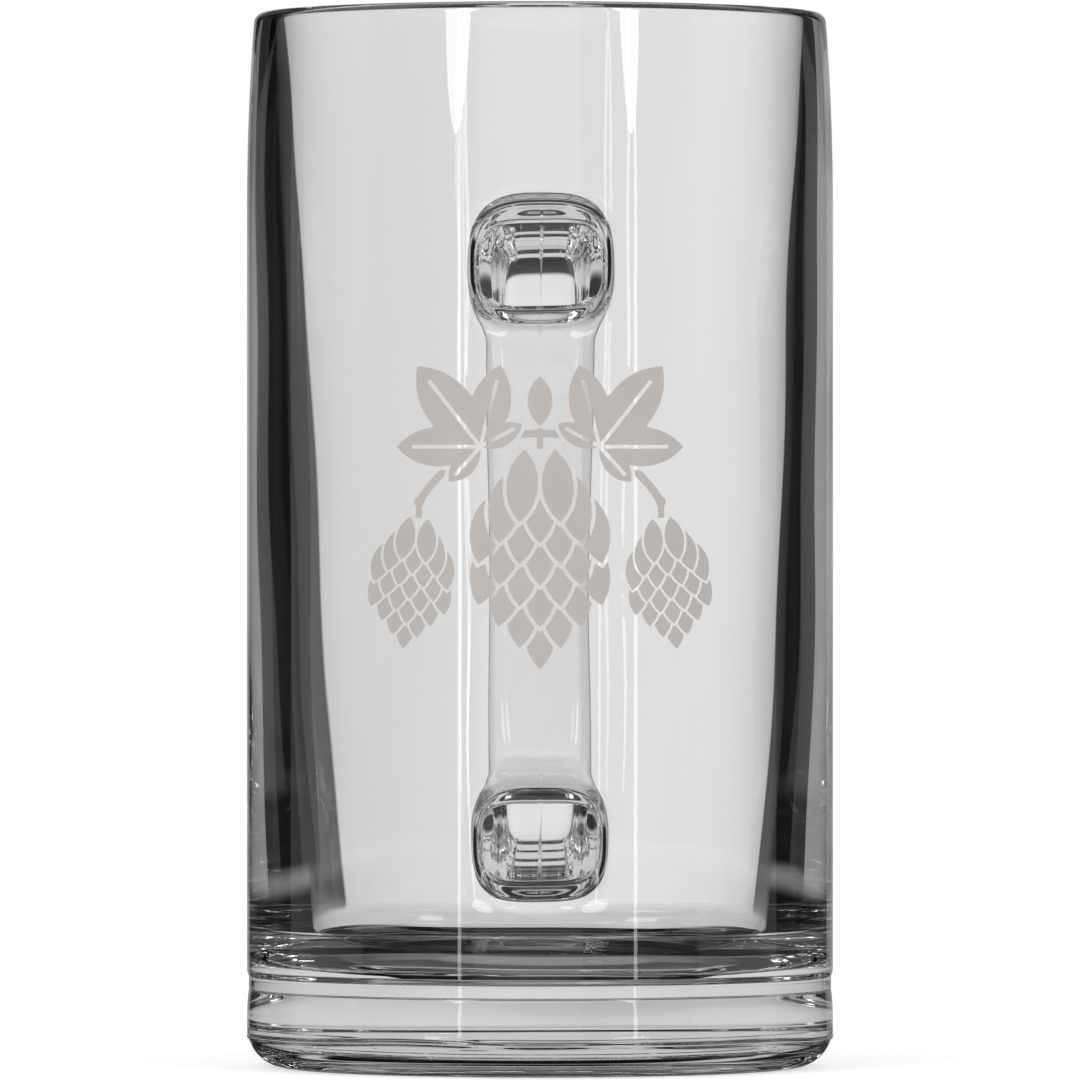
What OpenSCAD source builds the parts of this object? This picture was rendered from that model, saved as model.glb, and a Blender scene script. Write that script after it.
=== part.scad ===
// Straight-sided pressed glass beer mug, empty, with a handle behind and a one-colour print in front.
// The origin is the middle of the resting ring's plane, +Z is up, and the handle points along +Y.

/* [Body] */
// Largest outer diameter
body_d = 85; // [76:0.5:95]
// Height from the table to the top of the rim
body_h = 152.8; // [142:0.2:170]
// How far the wall draws in towards the mouth, on the radius
mouth_draw = 1; // [0.4:0.1:2]
// Height over which it draws in
mouth_draw_h = 26.5; // [18:0.5:36]
// Thickness of the rounded rim
rim_t = 3; // [2.4:0.1:4]

/* [Bore and base] */
// Height at which the tapered bore begins to close in faster
bore_bend_z = 58; // [48:1:70]
// Thickness of the wall at that height
bore_bend_wall = 6.9; // [5:0.1:8]
// Radius of the long curve below that height
bore_curve_r = 600; // [400:10:900]
// Radius between the bore and its floor
corner_r = 7; // [4:0.5:9]
// Height of the floor at its edge
floor_z = 14.4; // [11:0.2:18]
// How far the floor is dished in the middle
floor_dish = 1.2; // [0.4:0.1:2.4]
// Rounding of the outer bottom edge
heel_r = 5.8; // [4:0.1:7]
// Width of the flat ring that the mug stands on
foot_ring_w = 5.7; // [3:0.1:8]
// Depth of the hollow inside that ring
punt_h = 1.5; // [0.5:0.1:3]
// Middle height of the shallow waist where the base ring begins
waist_z = 11.1; // [10:0.1:13]
// Height of that waist
waist_h = 5; // [3:0.1:6]
// Depth of that waist
waist_depth = 0.2; // [0.1:0.05:0.5]
// Height over which it steps in and out again
waist_step_h = 0.8; // [0.5:0.1:1.4]

/* [Handle] */
// Height of the middle of the upper root
handle_top_z = 115.9; // [104:0.1:122]
// Height of the middle of the lower root
handle_bottom_z = 28.2; // [27:0.1:40]
// Distance from the wall to the middle of the grip
handle_reach = 36; // [28:0.5:46]
// Width of the grip
grip_w = 19; // [16:0.2:21]
// Thickness of the grip, front to back
grip_t = 11.6; // [9:0.2:14]
// Width of each root where it leaves the wall
root_w = 20.5; // [17:0.1:23]
// Height of each root where it leaves the wall
root_t = 12.4; // [10:0.1:14]
// Distance from the wall over which a root narrows to the grip
root_len = 20; // [14:0.5:28]
// Fillet above and below each root where it meets the wall
root_fillet = 4.6; // [3:0.1:6]
// Size of the fillet at the root's sides beside that
side_fillet_share = 0.26; // [0.15:0.01:0.6]
// How square the outer bends are, 2 for an ellipse
outer_bend_square_share = 6; // [4:0.5:8]
// How square the inner bends are, 2 for an ellipse
inner_bend_square_share = 5; // [3:0.5:7]
// How square the section is, 2 for an ellipse
section_square_share = 4.5; // [3:0.1:5]
// How square each root's outline is on the wall, 2 for an ellipse
foot_square_share = 2.6; // [2:0.1:3.6]

/* [Print] */
// Height of the middle of the print
print_z = 79; // [72:0.5:86]
// Thickness of the fired ink
ink_t = 0.15; // [0.1:0.05:0.3]
// Gap that separates neighbouring shapes
ink_gap = 0.55; // [0.4:0.05:0.8]
// Width of a bract of the middle hop cone
bract_w = 4.5; // [3.8:0.1:4.8]
// Size of each side cone beside the middle one
side_hop_share = 0.6; // [0.5:0.02:0.64]
// Clearance between the middle cone and each side cone at their widest
side_hop_gap = 1.48; // [0.8:0.02:3]
// Length of a leaf's middle lobe
leaf_l = 14.5; // [12:0.5:16]
// Width of the vine's line
vine_w = 1.1; // [0.8:0.1:1.4]
// Radius of the vine's arch
vine_r = 20; // [18.5:0.5:23]
// Height of the arch's crown above the middle of the print
vine_top = 12.5; // [12:0.1:14]

/* [Hidden] */

$fn = 96;
long_curve_fn = 1440;
overrun = 1;

glass = [0.80, 0.85, 0.87, 0.45];
ink = [0.76, 0.74, 0.72];

// Body
body_r = body_d / 2;
mouth_r = body_r - mouth_draw;
rim_r = rim_t / 2;
rim_z = body_h - rim_r;
draw_z = rim_z - mouth_draw_h;
draw_r = (pow(mouth_draw_h, 2) + pow(mouth_draw, 2)) / (2 * mouth_draw);
punt_r = body_r - heel_r - foot_ring_w;
punt_curve_r = (pow(punt_r, 2) + pow(punt_h, 2)) / (2 * punt_h);
waist_top = waist_z + waist_h / 2;
waist_bottom = waist_z - waist_h / 2;

// Bore: a cone down to the bend, a long curve tangent to it, and a corner tangent to both
bore_mouth_r = mouth_r - rim_t;
bore_bend_r = body_r - bore_bend_wall;
bore_lean = atan((bore_mouth_r - bore_bend_r) / (rim_z - bore_bend_z));
curve_x = bore_bend_r - bore_curve_r * cos(bore_lean);
curve_z = bore_bend_z + bore_curve_r * sin(bore_lean);
corner_z = floor_z + corner_r;
corner_x = curve_x + sqrt(pow(bore_curve_r - corner_r, 2) - pow(corner_z - curve_z, 2));
tangent_z = curve_z + (corner_z - curve_z) * bore_curve_r / (bore_curve_r - corner_r);
dish_curve_r = (pow(corner_x, 2) + pow(floor_dish, 2)) / (2 * floor_dish);

// Handle
span_half = (handle_top_z - handle_bottom_z) / 2;
span_z = (handle_top_z + handle_bottom_z) / 2;
bow_outer = [handle_reach + grip_t / 2, span_half + root_t / 2];
bow_inner = [handle_reach - grip_t / 2, span_half - root_t / 2];
root_sink = mouth_draw + 3 * overrun;
wrap_share = 0.9;
path_steps = 64;
section_sides = 32;
even_step_share = 1.5;

// Print, in the plane of the view from the front
hop_rows = [2, 3, 4, 3, 4, 3, 2, 1];
bract_pitch = bract_w + ink_gap;
bract_l = bract_w * 1.15;
row_pitch = bract_w * 0.66;
row_lean = 9;
stalk_l = bract_w * 0.5;
stalk_w = vine_w * 0.8;
knot_r = vine_w * 0.65;
hop_half_w = (max(hop_rows) * bract_pitch - ink_gap) / 2;
vine_end_turn = 59;
vine_end_x = vine_r * sin(vine_end_turn);
vine_end_y = vine_top - vine_r * (1 - cos(vine_end_turn));
side_hop_x = hop_half_w * (1 + side_hop_share) + side_hop_gap;
side_hop_y = vine_end_y - stalk_l;
side_hop_turn = 7;
leaf_arch_turn = 25;
leaf_turn = 38;
lobe_turns = [0, 52, -52, 100, -100];
lobe_shares = [1, 0.82, 0.82, 0.46, 0.46];
lobe_w_share = 0.47;
vein_share = 0.82;
web_share = 0.29;
bud_l = leaf_l * 0.24;

// Half section of the outside, from the axis outwards
module outer_half() {
    difference() {
        union() {
            square([body_r - heel_r, heel_r]);
            translate([body_r - heel_r, heel_r]) circle(heel_r);
            translate([0, heel_r]) square([body_r, draw_z - heel_r]);
            intersection() {
                translate([body_r - draw_r, draw_z]) circle(draw_r, $fn = long_curve_fn);
                translate([0, draw_z]) square([body_r, mouth_draw_h]);
            }
        }
        polygon([
            [body_r + overrun, waist_top], [body_r, waist_top],
            [body_r - waist_depth, waist_top - waist_step_h],
            [body_r - waist_depth, waist_bottom + waist_step_h],
            [body_r, waist_bottom], [body_r + overrun, waist_bottom]
        ]);
    }
}

// Half section of the air inside
module bore_half() {
    polygon([
        [0, bore_bend_z], [bore_bend_r, bore_bend_z],
        [bore_mouth_r, rim_z], [bore_mouth_r, rim_z + overrun], [0, rim_z + overrun]
    ]);
    intersection() {
        translate([curve_x, curve_z]) circle(bore_curve_r, $fn = long_curve_fn);
        translate([0, tangent_z]) square([body_r, bore_bend_z - tangent_z]);
    }
    translate([corner_x, corner_z]) circle(corner_r);
    translate([0, floor_z]) square([corner_x, tangent_z - floor_z]);
    intersection() {
        translate([0, floor_z - floor_dish + dish_curve_r]) circle(dish_curve_r, $fn = long_curve_fn);
        translate([0, floor_z - floor_dish]) square([corner_x, floor_dish]);
    }
}

// The pressed body: barrel, rounded rim, thick base and the hollow under it
module glass_body() {
    color(glass) rotate_extrude() {
        difference() {
            outer_half();
            bore_half();
            translate([0, punt_h - punt_curve_r]) intersection() {
                circle(punt_curve_r, $fn = long_curve_fn);
                square([punt_r, punt_curve_r]);
            }
        }
        translate([mouth_r - rim_r, rim_z]) circle(rim_r);
    }
}

function signed_pow(v, p) = sign(v) * pow(abs(v), p);
function smooth(v) = let (u = min(max(v, 0), 1)) u * u * (3 - 2 * u);

// Angle along the bow from 90 at the upper root to -90 at the lower, spaced evenly near the wall
function bow_angle(t) =
    let (u = 1 - 2 * t)
    90 * sign(u) * (1 - pow(1 - abs(u), even_step_share));
// Point of a bow's contour in the direction of angle a from the middle of its opening
function contour(half, square_share, a) =
    let (
        wide = pow(cos(a) / half[0], square_share),
        high = pow(abs(sin(a)) / half[1], square_share)
    )
    [cos(a), sin(a)] / pow(wide + high, 1 / square_share);
// Extra half height of the root's fillet at distance d from the wall
function fillet_extra(d) =
    d >= root_fillet ? 0 :
    root_fillet - sqrt(pow(root_fillet, 2) - pow(root_fillet - max(d, 0), 2));
// How far the barrel falls back beside its crown, at distance x from the middle
function wrap(x) = wrap_share * (body_r - sqrt(pow(body_r, 2) - pow(x, 2)));
// One ring of points across the bow at its share t, moved by shift along the root
function bow_ring(t, shift) =
    let (
        a = bow_angle(t),
        outer = contour(bow_outer, outer_bend_square_share, a),
        inner = contour(bow_inner, inner_bend_square_share, a),
        middle = (outer + inner) / 2,
        thick = norm(outer - inner),
        out = (outer - inner) / thick,
        f = fillet_extra(middle[0]),
        near = 1 - smooth(middle[0] / root_len),
        half_w = (grip_w + (root_w - grip_w) * near) / 2 + f * side_fillet_share,
        half_t = thick / 2 + f,
        square_share = foot_square_share
            + (section_square_share - foot_square_share) * smooth(middle[0] / root_fillet),
        p = 2 / square_share
    )
    [
        for (i = [0 : section_sides - 1])
        let (
            turn = 360 * i / section_sides,
            x = half_w * signed_pow(cos(turn), p),
            v = half_t * signed_pow(sin(turn), p)
        )
        [x, body_r + middle[0] + out[0] * v + shift - wrap(x) * near, span_z + middle[1] + out[1] * v]
    ];

// A closed tube through rings of equal size, capped at both ends
module tube(rings) {
    n = section_sides;
    last = len(rings) - 1;
    sides = [
        for (k = [0 : last - 1]) for (i = [0 : n - 1])
        let (a = k * n + i, b = k * n + (i + 1) % n)
        each [[a, b, b + n], [a, b + n, a + n]]
    ];
    start = [for (i = [1 : n - 2]) [0, i + 1, i]];
    end = [for (i = [1 : n - 2]) [last * n, last * n + i, last * n + i + 1]];
    polyhedron([for (r = rings) each r], concat(sides, start, end), convexity = 4);
}

// The bowed grip with its flared roots, cut to the wall that carries it
module handle() {
    rings = [
        bow_ring(0, -root_sink),
        for (k = [0 : path_steps]) bow_ring(k / path_steps, 0),
        bow_ring(1, -root_sink)
    ];
    color(glass) difference() {
        tube(rings);
        rotate_extrude() outer_half();
    }
}

// A flat shape laid on the front of the barrel as a thin skin of ink
module printed() {
    color(ink) intersection() {
        translate([0, 0, print_z]) rotate([90, 0, 0]) linear_extrude(body_r + ink_t + overrun) children();
        difference() {
            cylinder(h = body_h, r = body_r + ink_t);
            cylinder(h = body_h, r = body_r);
        }
    }
}

// A pointed oval between two arcs, w wide and 2 * l long, widened by grow all round
module pointed_oval(w, l, grow = 0) {
    r = (pow(l, 2) + pow(w / 2, 2)) / w;
    intersection() {
        translate([r - w / 2, 0]) circle(r + grow);
        translate([w / 2 - r, 0]) circle(r + grow);
    }
}

// One row of overlapping bracts, counted from the top of the cone
module bract_row(row, grow) {
    count = hop_rows[row];
    for (i = [0 : count - 1]) {
        place = i - (count - 1) / 2;
        translate([place * bract_pitch, -row * row_pitch - bract_l])
            rotate(place * row_lean)
            pointed_oval(bract_w, bract_l, grow);
    }
}

// A hop cone hanging from its own origin: each row shows only below the two rows that cover it
module hop_cone() {
    for (row = [0 : len(hop_rows) - 1]) {
        difference() {
            bract_row(row, 0);
            for (over = [max(row - 2, 0) : 1 : row - 1]) bract_row(over, ink_gap);
        }
    }
}

// Outline of a five-lobed leaf pointing up from its own origin, webbed between its lobes
module leaf_outline(grow) {
    for (i = [0 : len(lobe_turns) - 1]) {
        l = leaf_l * lobe_shares[i] / 2;
        rotate(lobe_turns[i]) translate([0, l]) pointed_oval(2 * l * lobe_w_share, l, grow);
    }
    translate([0, leaf_l * web_share]) circle(leaf_l * web_share + grow);
}

// The leaf with its veins left open
module leaf() {
    difference() {
        leaf_outline(0);
        for (i = [0 : len(lobe_turns) - 1]) {
            rotate(lobe_turns[i])
                translate([-ink_gap / 2, 0])
                square([ink_gap, leaf_l * lobe_shares[i] * vein_share]);
        }
    }
}

// Places on the design: the arch's middle, and what hangs on or grows from the arch
module at_arch(turn) {
    translate([0, vine_top - vine_r]) rotate(-turn) translate([0, vine_r]) rotate(turn) children();
}

module at_side_hop(side) {
    translate([side * side_hop_x, side_hop_y]) rotate(side * side_hop_turn) scale(side_hop_share) children();
}

module at_middle_hop() {
    translate([0, vine_top - stalk_l]) children();
}

module at_leaf(side) {
    at_arch(side * leaf_arch_turn) rotate(-side * leaf_turn) children();
}

module print_middle_hop() {
    printed() at_middle_hop() hop_cone();
}

module print_left_hop() {
    printed() at_side_hop(-1) hop_cone();
}

module print_right_hop() {
    printed() at_side_hop(1) hop_cone();
}

module print_left_leaf() {
    printed() at_leaf(-1) leaf();
}

module print_right_leaf() {
    printed() at_leaf(1) leaf();
}

// A stalk from a knot on the vine down to the top of a cone
module stalk(from, to) {
    along = to - from;
    translate(from) {
        circle(knot_r);
        rotate(atan2(along[0], -along[1]))
            translate([-stalk_w / 2, -norm(along)])
            square([stalk_w, norm(along)]);
    }
}

// The arch with its stalks and a bud on its crown, cleared around the leaves
module print_vine() {
    reach = 2 * vine_r;
    printed() {
        difference() {
            union() {
                translate([0, vine_top - vine_r]) intersection() {
                    difference() {
                        circle(vine_r + vine_w / 2);
                        circle(vine_r - vine_w / 2);
                    }
                    polygon([[0, 0], [-reach * sin(vine_end_turn), reach * cos(vine_end_turn)],
                             [reach * sin(vine_end_turn), reach * cos(vine_end_turn)]]);
                }
                stalk([0, vine_top], [0, vine_top - stalk_l]);
                for (side = [-1, 1]) {
                    stalk([side * vine_end_x, vine_end_y], [side * side_hop_x, side_hop_y]);
                }
            }
            for (side = [-1, 1]) at_leaf(side) leaf_outline(ink_gap);
        }
        translate([0, vine_top + vine_w / 2 + ink_gap + bud_l]) pointed_oval(bud_l, bud_l);
    }
}

glass_body();
handle();
print_middle_hop();
print_left_hop();
print_right_hop();
print_left_leaf();
print_right_leaf();
print_vine();
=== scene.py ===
import math

import bpy
import numpy as np
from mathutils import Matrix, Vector


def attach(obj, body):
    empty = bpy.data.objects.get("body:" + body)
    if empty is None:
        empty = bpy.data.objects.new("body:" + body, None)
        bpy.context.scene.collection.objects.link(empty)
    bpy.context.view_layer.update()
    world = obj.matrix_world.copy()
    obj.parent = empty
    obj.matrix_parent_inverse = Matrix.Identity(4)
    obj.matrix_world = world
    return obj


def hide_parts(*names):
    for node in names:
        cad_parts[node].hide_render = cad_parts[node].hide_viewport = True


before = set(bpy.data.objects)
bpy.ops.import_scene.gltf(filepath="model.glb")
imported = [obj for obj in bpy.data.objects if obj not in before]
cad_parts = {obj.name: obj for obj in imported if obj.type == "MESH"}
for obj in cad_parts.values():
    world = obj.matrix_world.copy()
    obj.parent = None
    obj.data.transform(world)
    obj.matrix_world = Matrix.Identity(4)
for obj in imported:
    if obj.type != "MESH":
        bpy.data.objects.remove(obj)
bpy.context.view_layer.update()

mm = 0.001

print("frame loaded:", len(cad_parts), "nodes")


# sRGB hex to linear: a straight part near black, a power of 2.4 above it
def linear(hexColour):
    parts = [int(hexColour[i:i + 2], 16) / 255 for i in (1, 3, 5)]
    flat = [c / 12.92 if c <= 0.04045 else ((c + 0.055) / 1.055) ** 2.4 for c in parts]
    return (*flat, 1.0)


# One node with its settings and its inputs, each a value or a socket to link
def addNode(tree, kind, settings=None, inputs=None):
    node = tree.nodes.new(kind)
    for name, value in (settings or {}).items():
        setattr(node, name, value)
    for name, value in (inputs or {}).items():
        if isinstance(value, bpy.types.NodeSocket):
            tree.links.new(value, node.inputs[name])
        else:
            node.inputs[name].default_value = value
    return node


def newMaterial(name):
    material = bpy.data.materials.new(name)
    material.use_nodes = True
    material.node_tree.nodes.clear()
    return material, material.node_tree


# A mesh object at the origin from points in millimetres and faces of point numbers
def newPiece(name, points, faces, material, smooth=True):
    mesh = bpy.data.meshes.new(name)
    mesh.from_pydata((np.asarray(points) * mm).tolist(), [], faces)
    mesh.update()
    mesh.polygons.foreach_set("use_smooth", np.full(len(mesh.polygons), smooth))
    mesh.materials.append(material)
    piece = bpy.data.objects.new(name, mesh)
    bpy.context.scene.collection.objects.link(piece)
    return piece


# 0 to 1 with level ends: three squares less two cubes
def smoothStep(v):
    u = np.clip(v, 0, 1)
    return u * u * (3 - 2 * u)


# A power of the size that keeps the sign
def signedPow(v, p):
    return np.sign(v) * np.abs(v) ** p


# A bell of height 1: e to minus the square of the distance over the width
def bell(distance, width):
    return np.exp(-(distance / width) ** 2)


# Points of a circle about a centre between two angles in degrees, without the first
def arc(centre, radius, start, end, steps):
    a = np.radians(np.linspace(start, end, steps + 1)[1:])
    return np.stack([centre[0] + radius * np.cos(a), centre[1] + radius * np.sin(a)], axis=1)


# Points of a straight line between two points, without the first
def line(start, end, steps):
    t = np.linspace(0, 1, steps + 1)[1:, None]
    return (1 - t) * np.array(start) + t * np.array(end)


# Even heights between two heights, without the first
def rise(start, end, steps):
    return np.linspace(start, end, steps + 1)[1:]


# The mug's body, all lengths in millimetres
mug = {
    "bodyD": 85, "bodyH": 152.8, "mouthDraw": 1, "mouthDrawH": 26.5, "rimT": 3,
    "boreBendZ": 58, "boreBendWall": 6.9, "boreCurveR": 600, "cornerR": 7,
    "floorZ": 14.4, "floorDish": 1.2, "heelR": 5.8, "footRingW": 5.7, "puntH": 1.5,
    "waistTop": 14.1, "waistStepH": 1.0, "waistDepth": 0.25, "waistKinkZ": 11.3, "waistBottom": 7.6,
    "lineDepth": 0.04, "lineW": 0.09,
}
# The body's mesh: columns round it with close ones at the seams, the two patches that are cut out of it for
# the handle's roots, the angle from which the heel's rows are close, and how many widths of the fine line
# have close rows
grid = {
    "columns": 192, "seamSteps": [0.12, 0.3, 0.6, 1.1],
    "patchHalfAngle": 22.5, "patchHalfH": 13.5, "patchRows": 24, "patchRings": 6, "edgeSlack": 0.01,
    "heelClose": -40, "lineWidths": 3,
}
# Steps along the section, from under the middle out, up the wall, over the rim and down to the floor
rowSteps = {
    "punt": 10, "foot": 5, "heelUnder": 10, "heel": 44, "toWaist": 4, "waist": 10, "fineLine": 18,
    "toStep": 4, "step": 16, "toLowRoot": 2, "betweenRoots": 37, "toRim": 12,
    "rim": 22, "bore": 38, "boreCurve": 26, "corner": 26, "floor": 16,
}

bodyR = mug["bodyD"] / 2
mouthR = bodyR - mug["mouthDraw"]
rimR = mug["rimT"] / 2
rimZ = mug["bodyH"] - rimR
drawZ = rimZ - mug["mouthDrawH"]
drawR = (mug["mouthDrawH"] ** 2 + mug["mouthDraw"] ** 2) / (2 * mug["mouthDraw"])


# Outer radius of the wall at a height: plain, less the waist's dip and its fine line, and drawn in on an
# arc near the mouth
def wallR(z):
    z = np.asarray(z, float)
    fall = smoothStep((mug["waistTop"] - z) / mug["waistStepH"])
    up = np.clip((mug["waistKinkZ"] - z) / (mug["waistKinkZ"] - mug["waistBottom"]), 0, 1)
    fineLine = mug["lineDepth"] * bell(z - mug["waistKinkZ"], mug["lineW"])
    drawn = drawR - np.sqrt(drawR ** 2 - np.maximum(z - drawZ, 0) ** 2)
    return bodyR - mug["waistDepth"] * (fall - up * (2 - up)) - fineLine - drawn


# The whole section as one line of (radius, height) points from under the middle, round the rim, to the
# floor, and the numbers of the rows where the lower and the upper patch start
def section():
    puntR = bodyR - mug["heelR"] - mug["footRingW"]
    puntCurveR = (puntR ** 2 + mug["puntH"] ** 2) / (2 * mug["puntH"])
    puntAngle = math.degrees(math.asin(puntR / puntCurveR))
    heelX = bodyR - mug["heelR"]
    under = np.concatenate([
        arc((0, mug["puntH"] - puntCurveR), puntCurveR, 90, 90 - puntAngle, rowSteps["punt"]),
        line((puntR, 0), (heelX, 0), rowSteps["foot"]),
        arc((heelX, mug["heelR"]), mug["heelR"], -90, grid["heelClose"], rowSteps["heelUnder"]),
        arc((heelX, mug["heelR"]), mug["heelR"], grid["heelClose"], 0, rowSteps["heel"]),
    ])

    half = grid["patchHalfH"]
    lowPatch = [handle["bottomZ"] - half, handle["bottomZ"] + half]
    highPatch = [handle["topZ"] - half, handle["topZ"] + half]
    stepLow = mug["waistTop"] - mug["waistStepH"]
    lineHalf = grid["lineWidths"] * mug["lineW"]
    lineLow, lineHigh = mug["waistKinkZ"] - lineHalf, mug["waistKinkZ"] + lineHalf
    base = np.concatenate([
        rise(mug["heelR"], mug["waistBottom"], rowSteps["toWaist"]),
        rise(mug["waistBottom"], lineLow, rowSteps["waist"]),
        rise(lineLow, lineHigh, rowSteps["fineLine"]),
        rise(lineHigh, stepLow, rowSteps["toStep"]),
        rise(stepLow, mug["waistTop"], rowSteps["step"]),
        rise(mug["waistTop"], lowPatch[0], rowSteps["toLowRoot"]),
    ])
    wallZ = np.concatenate([
        base,
        rise(*lowPatch, grid["patchRows"]),
        rise(lowPatch[1], highPatch[0], rowSteps["betweenRoots"]),
        rise(*highPatch, grid["patchRows"]),
        rise(highPatch[1], rimZ, rowSteps["toRim"]),
    ])
    wall = np.stack([wallR(wallZ), wallZ], axis=1)

    boreMouthR = mouthR - mug["rimT"]
    boreBendR = bodyR - mug["boreBendWall"]
    lean = math.atan((boreMouthR - boreBendR) / (rimZ - mug["boreBendZ"]))
    curveR = mug["boreCurveR"]
    curve = (boreBendR - curveR * math.cos(lean), mug["boreBendZ"] + curveR * math.sin(lean))
    cornerZ = mug["floorZ"] + mug["cornerR"]
    gap = curveR - mug["cornerR"]
    cornerX = curve[0] + math.sqrt(gap ** 2 - (cornerZ - curve[1]) ** 2)
    turn = math.degrees(math.asin((curve[1] - cornerZ) / gap))
    dishR = (cornerX ** 2 + mug["floorDish"] ** 2) / (2 * mug["floorDish"])
    dishAngle = math.degrees(math.asin(cornerX / dishR))
    dishZ = mug["floorZ"] - mug["floorDish"] + dishR
    inside = np.concatenate([
        arc((mouthR - rimR, rimZ), rimR, 0, 180, rowSteps["rim"]),
        line((boreMouthR, rimZ), (boreBendR, mug["boreBendZ"]), rowSteps["bore"]),
        arc(curve, curveR, -math.degrees(lean), -turn, rowSteps["boreCurve"]),
        arc((cornerX, cornerZ), mug["cornerR"], -turn, -90, rowSteps["corner"]),
        arc((0, dishZ), dishR, dishAngle - 90, -90, rowSteps["floor"]),
    ])
    low = len(under) + len(base) - 1
    high = low + grid["patchRows"] + rowSteps["betweenRoots"]
    return np.concatenate([under, wall, inside]), low, high


# Angles round the body from the handle's side, with close lines along the two mould seams
def columnAngles():
    even = np.linspace(-180, 180, grid["columns"] + 1)[:-1]
    fine = np.array(grid["seamSteps"])
    seams = np.concatenate([fine, -fine, 180 - fine, fine - 180])
    return np.sort(np.concatenate([even, seams]))


# A point of the body: its radius turned round the axis from +Y towards +X
def turned(r, angle, z):
    a = np.radians(angle)
    return np.stack([r * np.sin(a), r * np.cos(a), z + np.zeros_like(r * a)], axis=-1)


# Small faults of pressing, lengths in millimetres. A wave is its size, how many times it goes round the
# mug, its start in radians and the height in which it turns by one radian. A gap is where the ring is
# faint: degrees from the front and width. The bore's waves start boreClear under the rim and the corner's
# cornerIn from the axis, and both grow over their fades.
faults = {
    "ringZ": 4.6, "ringH": 0.21, "ringW": 0.31, "ringWave": 0.35,
    "ringWaves": [(0.5, 2, 0.9, math.inf), (0.3, 5, 2.1, math.inf), (0.2, 9, 0.3, math.inf)],
    "ringGaps": [(-10, 4), (16, 9)], "ringFaint": 0.7,
    "boreWave": 0.03, "boreWaves": [(1.0, 3, 0, 19), (0.8, 4, 1.7, -11), (0.6, 7, 0.5, 7)],
    "boreClear": 6, "boreFade": 20,
    "cornerWave": 0.35, "cornerIn": 10, "cornerFade": 14,
    "cornerWaves": [(0.15, 7, 1, math.inf), (-0.55, 3, math.pi / 2 - 0.42, math.inf), (-0.3, 1, 0, math.inf)],
}


# The faults as radius and height to add at each row and column: a ring where the mould's parts met at the
# heel, which wanders in height and is faint in two places, and waves in the bore and its corner, each a sum
# of sines round the mug
def addFaults(r, angle, z):
    a = np.radians(angle)
    outside = np.arange(len(r))[:, None] <= np.argmax(z[:, 0])

    def waveSum(waves):
        return sum(size * np.sin(times * a + start + z / climb) for size, times, start, climb in waves)

    fromFront = (180 - angle + 180) % 360 - 180
    faint = faults["ringFaint"] * sum(bell(fromFront - at, width) for at, width in faults["ringGaps"])
    ringZ = faults["ringZ"] + faults["ringWave"] * waveSum(faults["ringWaves"])
    ring = faults["ringH"] * (1 - faint) * bell(z - ringZ, faults["ringW"])

    belowRim = smoothStep((rimZ - faults["boreClear"] - z) / faults["boreFade"])
    bore = faults["boreWave"] * waveSum(faults["boreWaves"]) * belowRim
    offMiddle = smoothStep((r - faults["cornerIn"]) / faults["cornerFade"])
    low = smoothStep((mug["floorZ"] + mug["cornerR"] - z) / mug["cornerR"])
    corner = faults["cornerWave"] * waveSum(faults["cornerWaves"]) * offMiddle * low
    return ring + np.where(outside, 0, bore), np.where(outside, 0, corner)


# The handle, lengths in millimetres. The squares are superellipse powers, 2 round and more squarer;
# sideFillet and wrapShare are the shares of the fillet and of the wall's curve that the root takes on.
handle = {
    "topZ": 115.9, "bottomZ": 28.2, "reach": 36, "gripW": 19, "gripT": 11.6,
    "rootW": 20.5, "rootT": 12.4, "rootLen": 20, "fillet": 6.4, "sideFillet": 0.26,
    "filletWave": 0.18, "filletWaves": 2.5, "wrapShare": 0.98,
    "outerSquare": 6, "innerSquare": 5, "sectionSquare": 4.5, "footSquare": 2.6,
    "seamH": 0.1, "seamW": 0.13, "ringGap": 0.8, "filletRings": 37, "measureSteps": 20000,
}


# Points of a superellipse contour in the direction of each angle from the middle of the bow's opening
def contour(half, square, angle):
    wide = (np.maximum(np.cos(angle), 0) / half[0]) ** square
    high = (np.abs(np.sin(angle)) / half[1]) ** square
    return np.stack([np.cos(angle), np.sin(angle)]) / (wide + high) ** (1 / square)


# The bow at each angle, between an outer and an inner contour: the middle of its section (out, up), the
# direction to its outside and its half thickness
def bow(angle):
    spanHalf = (handle["topZ"] - handle["bottomZ"]) / 2
    gripHalf, rootHalf = handle["gripT"] / 2, handle["rootT"] / 2
    outer = contour((handle["reach"] + gripHalf, spanHalf + rootHalf), handle["outerSquare"], angle)
    inner = contour((handle["reach"] - gripHalf, spanHalf - rootHalf), handle["innerSquare"], angle)
    half = np.hypot(*(outer - inner)) / 2
    return (outer + inner) / 2, (outer - inner) / (2 * half), half


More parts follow.
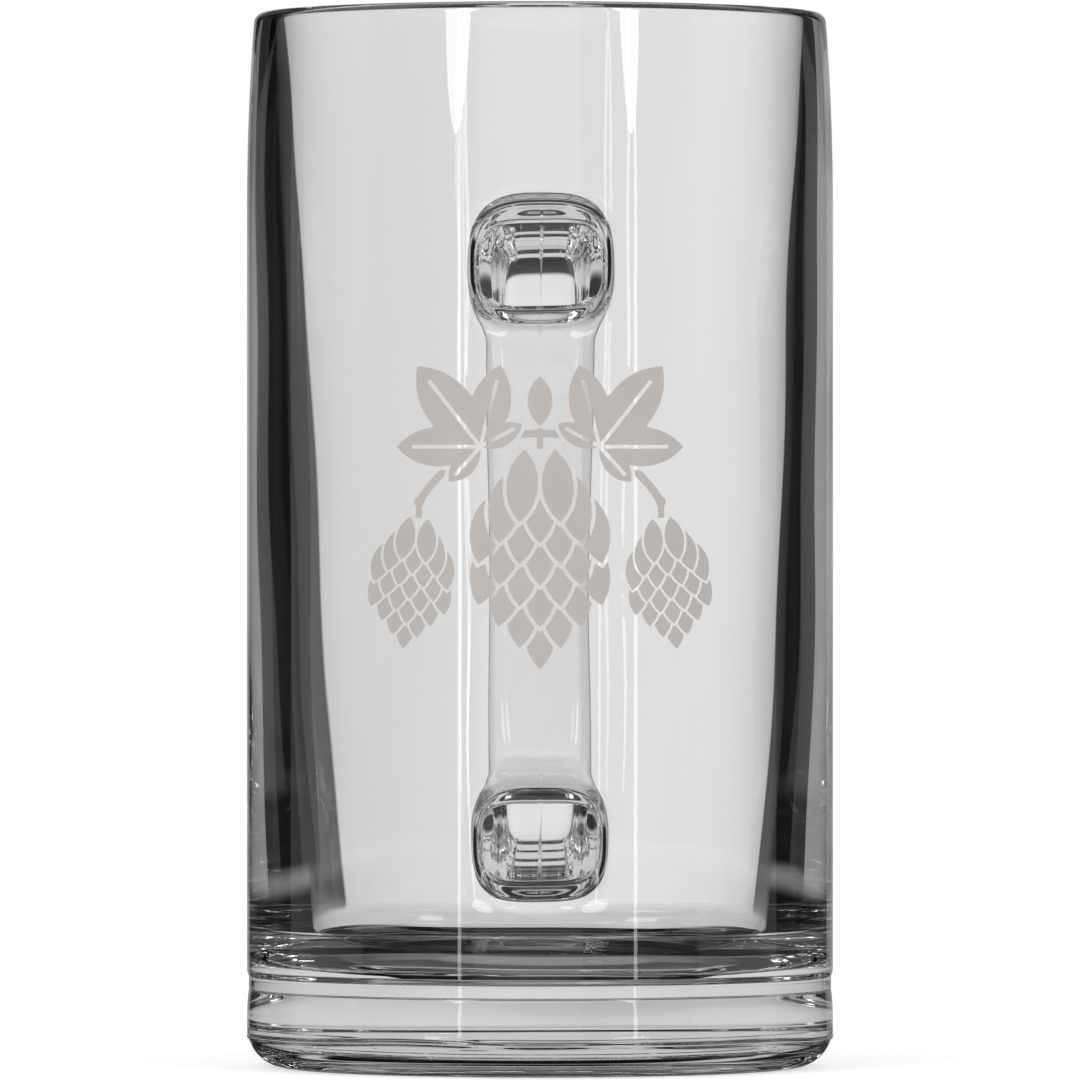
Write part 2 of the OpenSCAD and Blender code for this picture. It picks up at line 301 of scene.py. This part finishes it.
# Rings of points that carry the wall out of one cut, along the bow and into the other. Each is a
# superellipse section across the bow, widened by a quarter circle and rounder where it meets the wall, with
# a seam ridge down its middle. edgeShare is where its points are, across and outward, on a size of 1.
def handleRings(edgeShare):
    fine = np.radians(90 - 180 * np.linspace(0, 1, handle["measureSteps"] + 1))
    middle, _, _ = bow(fine)
    length = np.concatenate([[0], np.cumsum(np.hypot(*np.diff(middle, axis=1)))])
    f = handle["fillet"]
    filletD = f * (1 - np.cos(np.radians(np.linspace(0, 90, handle["filletRings"]))))
    upperHalf = slice(handle["measureSteps"] // 2)
    start = np.interp(filletD, middle[0, upperHalf], length[upperHalf])
    total = length[-1]
    count = int(round((total - 2 * start[-1]) / handle["ringGap"]))
    along = np.linspace(start[-1], total - start[-1], count + 1)
    at = np.concatenate([start[:-1], along, (total - start[:-1])[::-1]])
    middle, out, half = bow(np.interp(at, length, fine))

    # d: how far out from the wall. extra: what the fillet adds. near: 1 at the root, 0 on the grip.
    d = np.maximum(middle[0], 0)
    d[0] = d[-1] = 0
    extra = np.where(d < f, f - np.sqrt(np.maximum(f ** 2 - (f - np.minimum(d, f)) ** 2, 0)), 0)
    turnShare = np.degrees(np.arccos(np.clip(1 - d / f, 0, 1))) / 90
    waves = np.sin(2 * np.pi * handle["filletWaves"] * turnShare) * np.sin(np.pi * turnShare)
    extra += handle["filletWave"] * waves
    near = 1 - smoothStep(d / handle["rootLen"])
    offWall = smoothStep(d / f)

    halfW = (handle["gripW"] + (handle["rootW"] - handle["gripW"]) * near) / 2 + extra * handle["sideFillet"]
    square = handle["footSquare"] + (handle["sectionSquare"] - handle["footSquare"]) * offWall
    power = (handle["sectionSquare"] / square)[:, None]
    across = halfW[:, None] * signedPow(edgeShare[0], power)
    ridge = handle["seamH"] * bell(across, handle["seamW"]) * offWall[:, None]
    outward = (half + extra)[:, None] * signedPow(edgeShare[1], power) + ridge * np.sign(edgeShare[1])
    spanZ = (handle["topZ"] + handle["bottomZ"]) / 2
    z = spanZ + middle[1][:, None] + out[1][:, None] * outward
    share = np.where(d > 0, handle["wrapShare"], 1)[:, None]
    wrap = bodyR - np.sqrt(wallR(z) ** 2 - across ** 2)
    y = bodyR + middle[0][:, None] + out[0][:, None] * outward - wrap * near[:, None] * share
    return np.stack([across, y, z], axis=-1)


# The glass as one skin: a turned grid with two cuts, and the handle's rings joined to the cuts' edges
def buildGlass(material):
    rows, low, high = section()
    angles = columnAngles()
    nRow, nCol = len(rows) - 1, len(angles)
    body = rows[:-1]
    outward, upward = addFaults(body[:, :1], angles[None, :], body[:, 1:])
    points = turned(body[:, :1] + outward, angles[None, :], body[:, 1:] + upward)

    # The columns at the cuts' two sides; the slack keeps rounding from taking the next one
    first = np.searchsorted(angles, -grid["patchHalfAngle"] - grid["edgeSlack"])
    last = np.searchsorted(angles, grid["patchHalfAngle"] - grid["edgeSlack"])
    wide, tall = last - first, grid["patchRows"]
    number = np.arange(nRow * nCol).reshape(nRow, nCol)

    i, j = np.meshgrid(np.arange(nRow - 1), np.arange(nCol), indexing="ij")
    inCut = (j >= first) & (j < last) & (
        ((i >= low) & (i < low + tall)) | ((i >= high) & (i < high + tall)))
    i, j = i[~inCut], j[~inCut]
    k = (j + 1) % nCol
    bodyFaces = np.stack([number[i, j], number[i + 1, j], number[i + 1, k], number[i, k]], axis=1)

    # The cut's edge, from the middle of its +X side, out over the top and round: column and row numbers
    halfTall = tall // 2
    colEdge = np.concatenate([
        np.full(halfTall, last), np.arange(last, first, -1), np.full(tall, first),
        np.arange(first, last), np.full(halfTall, last)])
    rowEdge = np.concatenate([
        np.arange(0, halfTall), np.full(wide, halfTall), np.arange(halfTall, -halfTall, -1),
        np.full(wide, -halfTall), np.arange(-halfTall, 0)])

    # The same points on a superellipse of size 1: the cut's corners go to its diagonals
    square = handle["sectionSquare"]
    corner = 0.5 ** (1 / square)
    across = angles[colEdge] / grid["patchHalfAngle"] * corner
    outward = rowEdge / halfTall * corner
    onSide = np.abs(rowEdge) < halfTall
    across = np.where(onSide, np.sign(across) * (1 - np.abs(outward) ** square) ** (1 / square), across)
    outward = np.where(onSide, outward, np.sign(outward) * (1 - np.abs(across) ** square) ** (1 / square))
    rings = handleRings((across[None, :], outward[None, :]))

    # Rings on the wall between each cut's edge and the fillet's foot
    share = (np.arange(1, grid["patchRings"] + 1) / (grid["patchRings"] + 1))[:, None]
    step = 2 * grid["patchHalfH"] / tall

    def onWall(foot, centre, up):
        footAngle = np.degrees(np.arctan2(foot[:, 0], foot[:, 1]))
        angle = (1 - share) * angles[colEdge] + share * footAngle
        z = (1 - share) * (centre + up * rowEdge * step) + share * foot[:, 2]
        return turned(wallR(z), angle, z)

    topWall = onWall(rings[0], handle["topZ"], 1)
    lowWall = onWall(rings[-1], handle["bottomZ"], -1)[::-1]
    between = np.concatenate([topWall, rings, lowWall])
    edgeN = len(colEdge)
    newNumber = nRow * nCol + np.arange(between.shape[0] * edgeN).reshape(-1, edgeN)
    ringNumber = np.concatenate([
        number[high + halfTall + rowEdge, colEdge][None],
        newNumber,
        number[low + halfTall - rowEdge, colEdge][None]])
    turn = np.roll(ringNumber, -1, axis=1)
    ringFaces = np.stack(
        [ringNumber[:-1], ringNumber[1:], turn[1:], turn[:-1]], axis=2).reshape(-1, 4)

    # The two poles: under the base and on the floor
    puntPole = nRow * nCol + between.shape[0] * edgeN
    floorPole = puntPole + 1
    nextCol = np.roll(number, -1, axis=1)
    poles = np.concatenate([
        np.stack([np.full(nCol, puntPole), number[0], nextCol[0]], axis=1),
        np.stack([np.full(nCol, floorPole), nextCol[-1], number[-1]], axis=1)])
    allPoints = np.concatenate([
        points.reshape(-1, 3), between.reshape(-1, 3),
        [[0, 0, mug["puntH"]], [0, 0, rows[-1, 1]]]])

    # Points inside the two cuts are dropped, and the rest numbered anew
    used = np.zeros(len(allPoints), bool)
    used[bodyFaces] = used[ringFaces] = used[poles] = True
    newName = np.cumsum(used) - 1
    faces = [newName[f].tolist() for f in (bodyFaces, ringFaces, poles)]
    return newPiece("mug_glass", allPoints[used], faces[0] + faces[1] + faces[2], material)


glass = {"colour": "#F8F8F8", "roughness": 0.0, "ior": 1.52}


# Pressed soda-lime glass, fire-polished: clear, a little grey in its depth, a hard clean gloss
def makeGlass():
    material, tree = newMaterial("SodaLimeGlass")
    shader = addNode(tree, "ShaderNodeBsdfPrincipled", inputs={
        "Base Color": linear(glass["colour"]), "Roughness": glass["roughness"], "IOR": glass["ior"],
        "Transmission Weight": 1.0})
    addNode(tree, "ShaderNodeOutputMaterial", inputs={"Surface": shader.outputs["BSDF"]})
    return material


# Sizes in millimetres: the clouds in the colour, and the grain that the screen's mesh leaves, which is
# about 0.1 really and drawn coarser so that it shows
ink = {
    "dark": "#B9B3AF", "pale": "#C3BDB9", "cloudSize": 6, "cloudDetail": 3.0,
    "grainSize": 0.5, "grainDetail": 2.0, "grainH": 0.05, "grainStrength": 0.15,
    "roughness": 0.42, "ior": 1.5,
}


# Fired enamel ink, screen printed: warm grey, opaque, a soft satin with a faint grain from the mesh
def makeInk():
    material, tree = newMaterial("FiredEnamelInk")
    place = addNode(tree, "ShaderNodeTexCoord").outputs["Object"]
    cloud = addNode(tree, "ShaderNodeTexNoise", inputs={
        "Vector": place, "Scale": 1 / (ink["cloudSize"] * mm), "Detail": ink["cloudDetail"]})
    colour = addNode(tree, "ShaderNodeMix", {"data_type": "RGBA"}, {
        "Factor": cloud.outputs["Fac"], "A": linear(ink["dark"]), "B": linear(ink["pale"])})
    grain = addNode(tree, "ShaderNodeTexNoise", inputs={
        "Vector": place, "Scale": 1 / (ink["grainSize"] * mm), "Detail": ink["grainDetail"]})
    bump = addNode(tree, "ShaderNodeBump", inputs={
        "Strength": ink["grainStrength"], "Distance": ink["grainH"] * mm, "Height": grain.outputs["Fac"]})
    shader = addNode(tree, "ShaderNodeBsdfPrincipled", inputs={
        "Roughness": ink["roughness"], "IOR": ink["ior"],
        "Base Color": colour.outputs["Result"], "Normal": bump.outputs["Normal"]})
    addNode(tree, "ShaderNodeOutputMaterial", inputs={"Surface": shader.outputs["BSDF"]})
    return material


mugGlass = buildGlass(makeGlass())
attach(mugGlass, "root")
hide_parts("glass_body", "handle")
print("glass built:", len(mugGlass.data.polygons), "faces")

inkMaterial = makeInk()
for name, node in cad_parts.items():
    if name.startswith("print_"):
        node.data.materials.clear()
        node.data.materials.append(inkMaterial)
print("print finished")


# Camera: level with the middle of the mug, far off, as the photograph was taken. Metres, but the lens and
# its sensor in millimetres.
camera = {"distance": 1.75, "height": 0.0764, "lens": 402, "sensor": 36, "near": 0.05, "far": 60}


def addCamera():
    data = bpy.data.cameras.new("camera")
    data.lens = camera["lens"]
    data.sensor_width = camera["sensor"]
    data.clip_start, data.clip_end = camera["near"], camera["far"]
    item = bpy.data.objects.new("camera", data)
    item.location = (0, -camera["distance"], camera["height"])
    item.rotation_euler = (math.radians(90), 0, 0)
    bpy.context.scene.collection.objects.link(item)
    bpy.context.scene.camera = item


# Settings that many nodes share
smoothEnds = {"interpolation_type": "SMOOTHSTEP"}
ofNumbers = {"data_type": "FLOAT"}


# 0 to 1 between two heights above or below the horizon, in degrees
def heightFade(tree, z, start, end):
    return addNode(tree, "ShaderNodeMapRange", smoothEnds, {
        "Value": z, "From Min": math.sin(math.radians(start)),
        "From Max": math.sin(math.radians(end))}).outputs[0]


# Counts of a ray's meetings with glass, each half way between two whole ones
rays = {"noneBack": 0.5, "oneWall": 2.5, "twoWalls": 4.5}


# Facts about a ray, each 1 or 0: it comes through glass or off a gloss and not off anything matt, nothing
# threw it back, and it passed no more than the two sides of one wall
def rayFacts(tree):
    path = addNode(tree, "ShaderNodeLightPath").outputs
    clean = addNode(tree, "ShaderNodeMath", {"operation": "MAXIMUM"}, {
        0: path["Is Glossy Ray"], 1: path["Is Transmission Ray"]}).outputs[0]
    inGlass = addNode(tree, "ShaderNodeMath", {"operation": "GREATER_THAN"}, {
        0: clean, 1: path["Diffuse Depth"]}).outputs[0]
    passed = addNode(tree, "ShaderNodeMath", {"operation": "LESS_THAN"}, {
        0: path["Glossy Depth"], 1: rays["noneBack"]}).outputs[0]
    fewWalls = addNode(tree, "ShaderNodeMath", {"operation": "LESS_THAN"}, {
        0: path["Transmission Depth"], 1: rays["oneWall"]}).outputs[0]
    return path, inGlass, passed, fewWalls


# Light and dark cards round the mug: edges in degrees from the nearest axis, levels where 1 is white
cards = {
    "turn": 4.5, "white": 1.0, "whiteEdge": 0.80, "whiteTo": 20.4,
    "grey": 0.085, "greyFrom": 21.4, "greyTo": 34.8, "black": 0.010, "blackFrom": 36.2,
}


# How bright the cards are by direction: white on the four axes, grey and then black between them. The angle
# from the nearest axis is the arctangent of the direction's smaller side over its larger one.
def cardPattern(tree, x, y):
    wide = addNode(tree, "ShaderNodeMath", {"operation": "ABSOLUTE"}, {0: x}).outputs[0]
    deep = addNode(tree, "ShaderNodeMath", {"operation": "ABSOLUTE"}, {0: y}).outputs[0]
    small = addNode(tree, "ShaderNodeMath", {"operation": "MINIMUM"}, {0: wide, 1: deep}).outputs[0]
    large = addNode(tree, "ShaderNodeMath", {"operation": "MAXIMUM"}, {0: wide, 1: deep}).outputs[0]
    slope = addNode(tree, "ShaderNodeMath", {"operation": "DIVIDE"}, {0: small, 1: large}).outputs[0]
    angle = addNode(tree, "ShaderNodeMath", {"operation": "ARCTANGENT"}, {0: slope}).outputs[0]
    white = addNode(tree, "ShaderNodeMapRange", {"interpolation_type": "LINEAR"}, {
        "Value": angle, "From Min": 0.0, "From Max": math.radians(cards["whiteTo"]),
        "To Min": cards["white"], "To Max": cards["whiteEdge"]}).outputs[0]
    toGrey, toBlack = (
        addNode(tree, "ShaderNodeMapRange", smoothEnds, {
            "Value": angle, "From Min": math.radians(start), "From Max": math.radians(end),
            "To Min": 1.0, "To Max": share}).outputs[0]
        for start, end, share in (
            (cards["whiteTo"], cards["greyFrom"], cards["grey"] / cards["whiteEdge"]),
            (cards["greyTo"], cards["blackFrom"], cards["black"] / cards["grey"])))
    dark = addNode(tree, "ShaderNodeMath", {"operation": "MULTIPLY"}, {0: toGrey, 1: toBlack}).outputs[0]
    return addNode(tree, "ShaderNodeMath", {"operation": "MULTIPLY"}, {0: dark, 1: white}).outputs[0]


# The studio that the glass shows. Levels where 1 is white; each pair is where a change starts and ends, in
# degrees above or below the horizon.
# turned: where the cards stand half a step on, and turnedFront the same on the camera's side, with sideSoft
# as the softness between the sides. over and under: a plain level high up and low down. lift: how far light
# past two walls goes to white. solid, back and deep: seen through solid glass, thrown back in one wall and
# thrown back deeper in. fill: the light on the ink and the board.
studio = {
    "turned": (-16, -19), "turnedFront": (-12.4, -13.6), "sideSoft": 0.1,
    "over": (36, 46), "overLevel": 0.85, "under": (-58, -66), "underLevel": 0.8, "lift": 0.85,
    "solid": 0.62, "solidDark": 0.03, "solidDown": (-7, -12), "solidUp": (12, 20),
    "back": 0.45, "backLow": (-22, -28), "backLowLevel": 0.09, "backUnderLevel": 0.25,
    "backUp": (12, 18), "backUpLevel": 0.05,
    "deep": 0.75, "deepDark": 0.012, "deepDown": (-15, -24), "deepUp": (20, 32), "deepUpEnd": (38, 44),
    "deepOver": (46, 52), "fill": 0.72,
}


def addWorld():
    world = bpy.data.worlds.new("studio")
    bpy.context.scene.world = world
    world.use_nodes = True
    tree = world.node_tree
    tree.nodes.clear()
    direction = addNode(tree, "ShaderNodeTexCoord").outputs["Generated"]
    direction = addNode(tree, "ShaderNodeVectorRotate", {"rotation_type": "Z_AXIS"}, {
        "Vector": direction, "Angle": math.radians(cards["turn"])}).outputs[0]
    x, y, z = addNode(tree, "ShaderNodeSeparateXYZ", inputs={0: direction}).outputs
    path, inGlass, passed, fewWalls = rayFacts(tree)

    # Which side of the mug a direction is on, as the camera sees it
    soft = studio["sideSoft"]
    before = addNode(tree, "ShaderNodeMapRange", smoothEnds, {
        "Value": y, "From Min": soft, "From Max": -soft}).outputs[0]
    behind = addNode(tree, "ShaderNodeMapRange", smoothEnds, {
        "Value": y, "From Min": -soft, "From Max": soft}).outputs[0]

    # Seen through the mug: the cards, which low down stand half a step of the pattern on
    pattern = cardPattern(tree, x, y)
    sideSum = addNode(tree, "ShaderNodeMath", {"operation": "ADD"}, {0: x, 1: y}).outputs[0]
    sideGap = addNode(tree, "ShaderNodeMath", {"operation": "SUBTRACT"}, {0: x, 1: y}).outputs[0]
    turnShare = addNode(tree, "ShaderNodeMix", ofNumbers, {
        "Factor": before, "A": heightFade(tree, z, *studio["turned"]),
        "B": heightFade(tree, z, *studio["turnedFront"])}).outputs[0]
    through = addNode(tree, "ShaderNodeMix", ofNumbers, {
        "Factor": turnShare, "A": pattern, "B": cardPattern(tree, sideSum, sideGap)}).outputs[0]
    for edge, level in (("over", "overLevel"), ("under", "underLevel")):
        through = addNode(tree, "ShaderNodeMix", ofNumbers, {
            "Factor": heightFade(tree, z, *studio[edge]), "A": through, "B": studio[level]}).outputs[0]

    # Light that passed more than two walls is lifted towards white
    manyWalls = addNode(tree, "ShaderNodeMath", {"operation": "GREATER_THAN"}, {
        0: path["Transmission Depth"], 1: rays["twoWalls"]}).outputs[0]
    lift = addNode(tree, "ShaderNodeMath", {"operation": "MULTIPLY"}, {
        0: manyWalls, 1: studio["lift"]}).outputs[0]
    through = addNode(tree, "ShaderNodeMix", ofNumbers, {"Factor": lift, "A": through, "B": 1.0}).outputs[0]

    # Seen through solid glass: a light level that falls to dark well above and below
    steep = addNode(tree, "ShaderNodeMath", {"operation": "MAXIMUM"}, {
        0: heightFade(tree, z, *studio["solidDown"]), 1: heightFade(tree, z, *studio["solidUp"])}).outputs[0]
    solid = addNode(tree, "ShaderNodeMix", ofNumbers, {
        "Factor": steep, "A": studio["solid"], "B": studio["solidDark"]}).outputs[0]

    # Thrown back in one wall: the cards at a low level
    backFew = addNode(tree, "ShaderNodeMath", {"operation": "MULTIPLY"}, {
        0: pattern, 1: studio["back"]}).outputs[0]
    for edge, level in (("backLow", "backLowLevel"), ("under", "backUnderLevel"), ("backUp", "backUpLevel")):
        backFew = addNode(tree, "ShaderNodeMix", ofNumbers, {
            "Factor": heightFade(tree, z, *studio[edge]), "A": backFew, "B": studio[level]}).outputs[0]

    # Thrown back deeper in, as in the handle's roots: light, but dark near the level of the eye
    slantBehind = addNode(tree, "ShaderNodeMath", {"operation": "SUBTRACT"}, {
        0: heightFade(tree, z, *studio["deepUp"]), 1: heightFade(tree, z, *studio["deepUpEnd"])}).outputs[0]
    slantUp = addNode(tree, "ShaderNodeMix", ofNumbers, {
        "Factor": behind, "A": heightFade(tree, z, *studio["deepOver"]), "B": slantBehind}).outputs[0]
    slanted = addNode(tree, "ShaderNodeMath", {"operation": "MAXIMUM"}, {
        0: heightFade(tree, z, *studio["deepDown"]), 1: slantUp}).outputs[0]
    backDeep = addNode(tree, "ShaderNodeMix", ofNumbers, {
        "Factor": slanted, "A": studio["deepDark"], "B": studio["deep"]}).outputs[0]

    back = addNode(tree, "ShaderNodeMix", ofNumbers, {
        "Factor": fewWalls, "A": backDeep, "B": backFew}).outputs[0]
    straight = addNode(tree, "ShaderNodeMix", ofNumbers, {
        "Factor": fewWalls, "A": through, "B": solid}).outputs[0]
    seen = addNode(tree, "ShaderNodeMix", ofNumbers, {
        "Factor": passed, "A": back, "B": straight}).outputs[0]
    other = addNode(tree, "ShaderNodeMix", ofNumbers, {
        "Factor": path["Is Camera Ray"], "A": studio["fill"], "B": 1.0}).outputs[0]
    level = addNode(tree, "ShaderNodeMix", ofNumbers, {"Factor": inGlass, "A": other, "B": seen}).outputs[0]
    shader = addNode(tree, "ShaderNodeBackground", inputs={"Color": (1, 1, 1, 1), "Strength": level})
    addNode(tree, "ShaderNodeOutputWorld", inputs={"Surface": shader.outputs[0]})


# The board under the mug. Its size is in metres; each pair is where a change starts and ends, in metres
# from the mug's axis. The glows are the light of its own that it shows to the eye, in glass and deep in it.
# shadow: the colour of the painted shadow and the painted dark belt, which only light in the glass sees.
# shadowIn and shadowOut: the painted shadow's two edges. open: where the pale part ends, and openBack the
# same for light thrown back. beltOut: the outer edge of the painted dark belt.
board = {
    "size": 24, "colour": "#E6E6E6", "shadow": "#101010",
    "glow": 0.44, "glowInGlass": 0.09, "glowDeep": 0.08,
    "shadowIn": (0.036, 0.039), "shadowOut": (0.054, 0.058), "open": (0.080, 0.170),
    "openBack": (0.060, 0.064), "beltOut": (0.130, 0.170),
}


# Painted board: pale and matt, white to the eye away from the shadow. Light deep in the glass, thrown back
# or past more than one wall, sees it only near the mug: dark with a painted shadow under it, a shade colour
# and not a cast shadow, then pale, then open, so that the cards show. To light thrown back in one wall the
# middle is open too, and a painted dark belt in the same shade colour lies outside the pale part.
def makeFloor():
    material, tree = newMaterial("PaintedBoard")
    path, inGlass, passed, fewWalls = rayFacts(tree)
    straight = addNode(tree, "ShaderNodeMath", {"operation": "MULTIPLY"}, {0: passed, 1: fewWalls}).outputs[0]
    plain = addNode(tree, "ShaderNodeMath", {"operation": "SUBTRACT"}, {0: 1.0, 1: straight}).outputs[0]
    deep = addNode(tree, "ShaderNodeMath", {"operation": "MULTIPLY"}, {0: plain, 1: inGlass}).outputs[0]

    matt = addNode(tree, "ShaderNodeBsdfDiffuse", inputs={"Color": linear(board["colour"])}).outputs[0]
    glow = addNode(tree, "ShaderNodeMath", {"operation": "MULTIPLY"}, {
        0: path["Is Camera Ray"], 1: board["glow"]}).outputs[0]
    glow = addNode(tree, "ShaderNodeMath", {"operation": "MULTIPLY_ADD"}, {
        0: inGlass, 1: board["glowInGlass"], 2: glow}).outputs[0]
    glow = addNode(tree, "ShaderNodeMath", {"operation": "MULTIPLY_ADD"}, {
        0: deep, 1: board["glowDeep"], 2: glow}).outputs[0]
    light = addNode(tree, "ShaderNodeEmission", inputs={"Color": (1, 1, 1, 1), "Strength": glow}).outputs[0]
    lit = addNode(tree, "ShaderNodeAddShader", inputs={0: matt, 1: light}).outputs[0]
    # The painted shade: a dark copy of the board, shown where light in the glass should find shadow
    paintedShade = addNode(tree, "ShaderNodeBsdfDiffuse", inputs={"Color": linear(board["shadow"])}).outputs[0]
    clear = addNode(tree, "ShaderNodeBsdfTransparent").outputs[0]

    place = addNode(tree, "ShaderNodeTexCoord").outputs["Object"]
    far = addNode(tree, "ShaderNodeVectorMath", {"operation": "LENGTH"}, {0: place}).outputs["Value"]
    shadowIn, shadowOut, openOut, openBack, beltOut = (
        addNode(tree, "ShaderNodeMapRange", smoothEnds, {
            "Value": far, "From Min": board[name][0], "From Max": board[name][1]}).outputs[0]
        for name in ("shadowIn", "shadowOut", "open", "openBack", "beltOut"))

    # The painted shadow ring under the heel: from shadowIn, or from the axis for light past many walls, out
    # to shadowOut
    manyWalls = addNode(tree, "ShaderNodeMath", {"operation": "SUBTRACT"}, {0: 1.0, 1: fewWalls}).outputs[0]
    inner = addNode(tree, "ShaderNodeMath", {"operation": "MAXIMUM"}, {0: shadowIn, 1: manyWalls}).outputs[0]
    outer = addNode(tree, "ShaderNodeMix", ofNumbers, {
        "Factor": passed, "A": openBack, "B": openOut}).outputs[0]
    ring = addNode(tree, "ShaderNodeMath", {"operation": "SUBTRACT"}, {0: inner, 1: shadowOut}).outputs[0]
    # belt: a painted dark belt in the shade colour, from openBack out to beltOut, seen only by light thrown
    # back in one wall
    wallBack = addNode(tree, "ShaderNodeMath", {"operation": "SUBTRACT"}, {0: fewWalls, 1: passed}).outputs[0]
    wallBack = addNode(tree, "ShaderNodeMath", {"operation": "MAXIMUM"}, {0: wallBack, 1: 0.0}).outputs[0]
    belt = addNode(tree, "ShaderNodeMath", {"operation": "SUBTRACT"}, {0: openBack, 1: beltOut}).outputs[0]
    belt = addNode(tree, "ShaderNodeMath", {"operation": "MULTIPLY"}, {0: belt, 1: wallBack}).outputs[0]
    # dark: where the painted shade shows instead of the lit board, for light deep in the glass
    dark = addNode(tree, "ShaderNodeMath", {"operation": "ADD"}, {0: ring, 1: belt}).outputs[0]
    dark = addNode(tree, "ShaderNodeMath", {"operation": "MULTIPLY"}, {0: dark, 1: deep}).outputs[0]
    middle = addNode(tree, "ShaderNodeMath", {"operation": "SUBTRACT"}, {0: 1.0, 1: inner}).outputs[0]
    away = addNode(tree, "ShaderNodeMath", {"operation": "ADD"}, {0: middle, 1: outer}).outputs[0]
    away = addNode(tree, "ShaderNodeMath", {"operation": "SUBTRACT"}, {0: away, 1: belt}).outputs[0]
    away = addNode(tree, "ShaderNodeMath", {"operation": "MULTIPLY"}, {0: away, 1: deep}).outputs[0]
    near = addNode(tree, "ShaderNodeMixShader", inputs={0: dark, 1: lit, 2: paintedShade}).outputs[0]
    seen = addNode(tree, "ShaderNodeMixShader", inputs={0: away, 1: near, 2: clear}).outputs[0]
    addNode(tree, "ShaderNodeOutputMaterial", inputs={"Surface": seen})
    return material


def addFloor():
    half = board["size"] / 2 / mm
    corners = [(-half, -half, 0), (half, -half, 0), (half, half, 0), (-half, half, 0)]
    floor = newPiece("floor", corners, [(0, 1, 2, 3)], makeFloor(), smooth=False)


# Lamps: turned in degrees from the camera's side of the mug, all as far from its axis, lengths in metres,
# levels as radiance
lamps = [
    {"name": "softbox_left", "turn": -32.6, "height": 0.61, "wide": 0.30, "tall": 0.80, "level": 6.0},
    {"name": "softbox_right", "turn": 35.6, "height": 0.61, "wide": 0.23, "tall": 0.80, "level": 6.0},
    {"name": "strip_left", "turn": -31.0, "height": 0.04, "wide": 0.03, "tall": 0.50, "level": 4.5},
    {"name": "strip_right", "turn": 37.0, "height": 0.04, "wide": 0.03, "tall": 0.50, "level": 4.5},
]
lampFar = 1.2


# An area lamp that looks at the mug's axis; its power is radiance times pi times the ellipse's area
def addLamp(lamp):
    data = bpy.data.lights.new(lamp["name"], "AREA")
    data.shape = "ELLIPSE"
    data.size, data.size_y = lamp["wide"], lamp["tall"]
    data.energy = lamp["level"] * math.pi * (math.pi / 4 * lamp["wide"] * lamp["tall"])
    item = bpy.data.objects.new(lamp["name"], data)
    a = math.radians(lamp["turn"])
    item.location = (lampFar * math.sin(a), -lampFar * math.cos(a), lamp["height"])
    look = Vector((0, 0, camera["height"])) - item.location
    item.rotation_euler = look.to_track_quat("-Z", "Y").to_euler()
    bpy.context.scene.collection.objects.link(item)


addCamera()
addWorld()
addFloor()
for lamp in lamps:
    addLamp(lamp)
bpy.context.scene.view_settings.view_transform = "Standard"

# Light goes to and fro many times in thick glass
bounces = {"all": 24, "gloss": 16, "glass": 16}
cycles = bpy.context.scene.cycles
cycles.max_bounces, cycles.glossy_bounces = bounces["all"], bounces["gloss"]
cycles.transmission_bounces = bounces["glass"]
print("studio ready")
